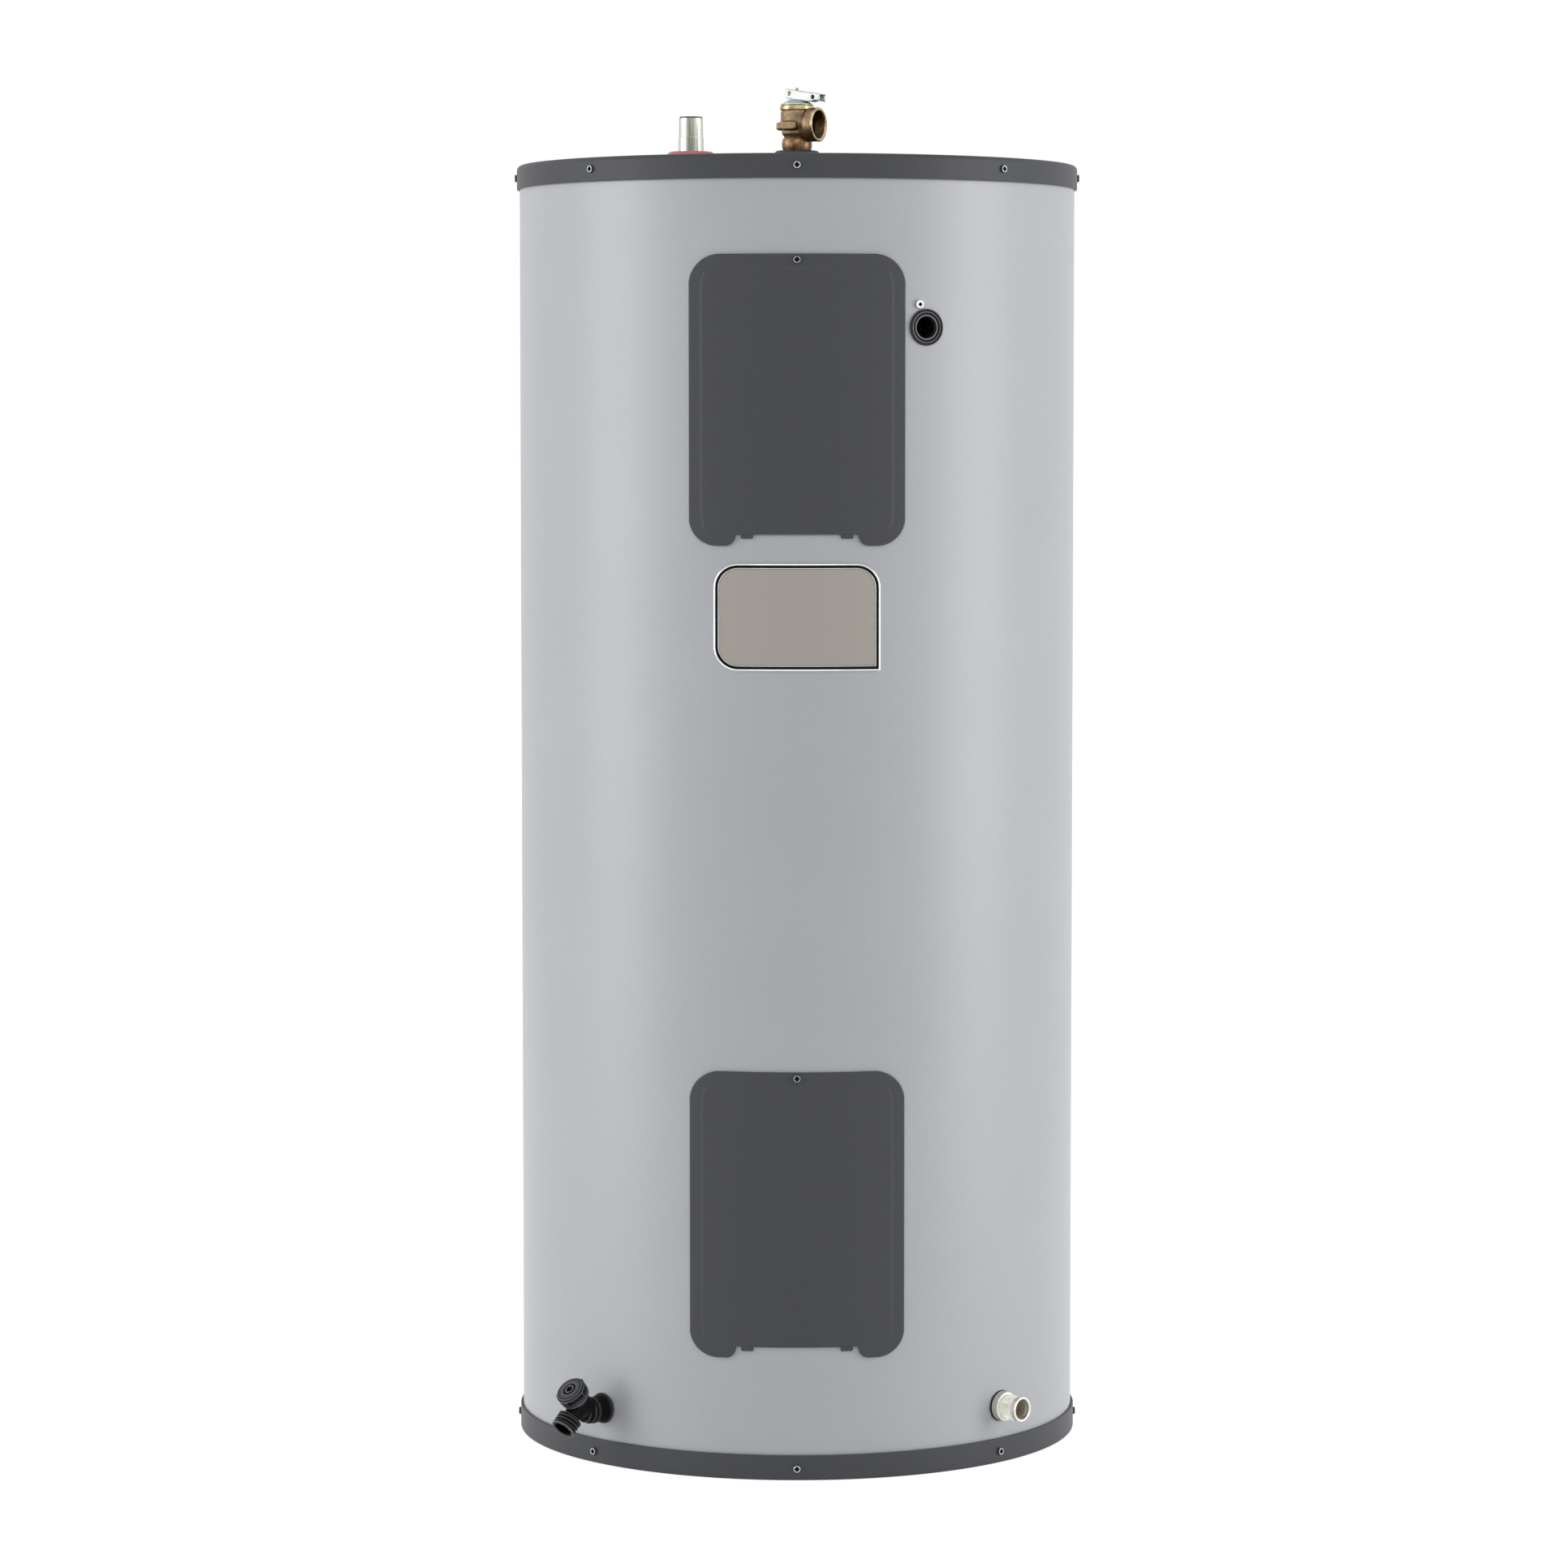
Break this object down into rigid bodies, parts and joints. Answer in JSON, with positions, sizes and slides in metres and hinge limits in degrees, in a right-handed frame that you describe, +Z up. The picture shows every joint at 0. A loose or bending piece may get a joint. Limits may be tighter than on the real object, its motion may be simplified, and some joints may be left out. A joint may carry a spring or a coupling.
{
  "type": "tank water heater",
  "caption": "Floor standing electric tank water heater with a side cold inlet, relief valve and hot outlet on the deck, drain valve and two access panels over elements and thermostats.",
  "frame": {"origin": "on the floor, on the axis of the drum", "axes": "+Z up, front with the access panels towards -Y, +X to the right seen from the front"},
  "size_m": [0.6156, 0.6153, 1.4605],
  "materials": {
    "jacket_paint": "satin",
    "dark_trim": "satin",
    "tank_steel": "satin",
    "foam": "matte",
    "fibre_pad": "matte",
    "zinc": "satin",
    "bright_frame": "polished",
    "spring_steel": "satin",
    "black_rubber": "matte",
    "black_plastic": "matte",
    "phenolic": "matte",
    "red_ring": "matte",
    "red_button": "gloss",
    "white_plastic": "satin",
    "bronze": "satin",
    "brass": "satin",
    "badge_taupe": "satin",
    "wire_cover": "satin",
    "magnesium": "matte",
    "green_zinc": "satin"
  },
  "bodies": {
    "heater": {"anode_cap": "black_plastic", "anode_rod": "magnesium", "badge_frame": "bright_frame", "badge_plate": "badge_taupe", "base_pan": "dark_trim", "base_screw_1": "zinc", "base_screw_2": "zinc", "base_screw_3": "zinc", "base_screw_4": "zinc", "base_screw_5": "zinc", "cable_grommet": "black_rubber", "cold_inlet_nipple": "zinc", "cold_inlet_ring": "black_plastic", "drain_valve_body": "black_plastic", "drain_valve_collar": "black_plastic", "foam_insulation": "foam", "ground_screw": "green_zinc", "high_limit_control": "phenolic", "hot_outlet_nipple": "zinc", "hot_outlet_ring": "red_ring", "jacket": "jacket_paint", "lower_element_gasket": "black_rubber", "lower_element_spud": "tank_steel", "lower_heating_element": "zinc", "lower_thermostat": "phenolic", "lower_thermostat_bracket": "spring_steel", "relief_escutcheon": "dark_trim", "relief_spring": "spring_steel", "relief_valve_body": "bronze", "relief_valve_bonnet": "zinc", "tank_bottom_head": "tank_steel", "tank_shell": "tank_steel", "tank_top_head": "tank_steel", "top_cover": "dark_trim", "top_screw_1": "zinc", "top_screw_2": "zinc", "top_screw_3": "zinc", "top_screw_4": "zinc", "top_screw_5": "zinc", "upper_element_gasket": "black_rubber", "upper_element_spud": "tank_steel", "upper_heating_element": "zinc", "upper_thermostat": "phenolic", "upper_thermostat_bracket": "spring_steel", "wiring_harness": "wire_cover"},
    "upper_panel": {"upper_access_panel": "dark_trim", "upper_insulation_pad": "fibre_pad", "upper_panel_screw": "zinc"},
    "lower_panel": {"lower_access_panel": "dark_trim", "lower_insulation_pad": "fibre_pad", "lower_panel_screw": "zinc"},
    "relief_lever": {"relief_lever": "zinc", "relief_lever_pin": "brass"},
    "relief_stem": {"relief_stem": "brass"},
    "drain_disc": {"drain_valve_disc": "black_rubber"},
    "drain_handle": {"drain_valve_handle": "black_plastic"},
    "upper_dial": {"upper_thermostat_dial": "white_plastic"},
    "lower_dial": {"lower_thermostat_dial": "white_plastic"},
    "reset_button": {"reset_button": "red_button"}
  },
  "joints": [
    {"name": "upper_panel_tilt", "type": "hinge", "parent": "heater", "child": "upper_panel", "pos_m": [0, -0.2925, 0.977], "axis": [1, 0, 0], "range_deg": [0, 60]},
    {"name": "lower_panel_tilt", "type": "hinge", "parent": "heater", "child": "lower_panel", "pos_m": [0, -0.2925, 0.1275], "axis": [1, 0, 0], "range_deg": [0, 60]},
    {"name": "relief_lever_lift", "type": "hinge", "parent": "heater", "child": "relief_lever", "pos_m": [-0.00498, -0.14824, 1.4523], "axis": [-0.4848, -0.8746, 0], "range_deg": [0, 75]},
    {"name": "relief_stem_lift", "type": "slide", "parent": "heater", "child": "relief_stem", "axis": [0, 0, 1], "range_m": [0, 0.003], "stiffness_N_per_m": 1500, "springref_m": -0.002, "deforming": ["relief_spring"]},
    {"name": "drain_disc_lift", "type": "slide", "parent": "heater", "child": "drain_disc", "axis": [-0.4651, -0.4988, 0.7314], "range_m": [0, 0.0035]},
    {"name": "drain_handle_turn", "type": "hinge", "parent": "drain_disc", "child": "drain_handle", "pos_m": [-0.22915, -0.24574, 0.07], "axis": [-0.4651, -0.4988, 0.7314], "range_deg": [0, 360]},
    {"name": "upper_dial_turn", "type": "hinge", "parent": "heater", "child": "upper_dial", "pos_m": [0, -0.275, 1.1255], "axis": [0, -1, 0], "range_deg": [-125, 125]},
    {"name": "lower_dial_turn", "type": "hinge", "parent": "heater", "child": "lower_dial", "pos_m": [0, -0.275, 0.276], "axis": [0, -1, 0], "range_deg": [-125, 125]},
    {"name": "reset_button_press", "type": "slide", "parent": "heater", "child": "reset_button", "axis": [0, 1, 0], "range_m": [0, 0.002], "stiffness_N_per_m": 300, "springref_m": -0.001}
  ],
  "couplings": [
    {"joint": "relief_lever_lift", "follows": "relief_stem_lift", "rad_per_m": 436.3},
    {"joint": "drain_handle_turn", "follows": "drain_disc_lift", "rad_per_m": 1795.1}
  ]
}
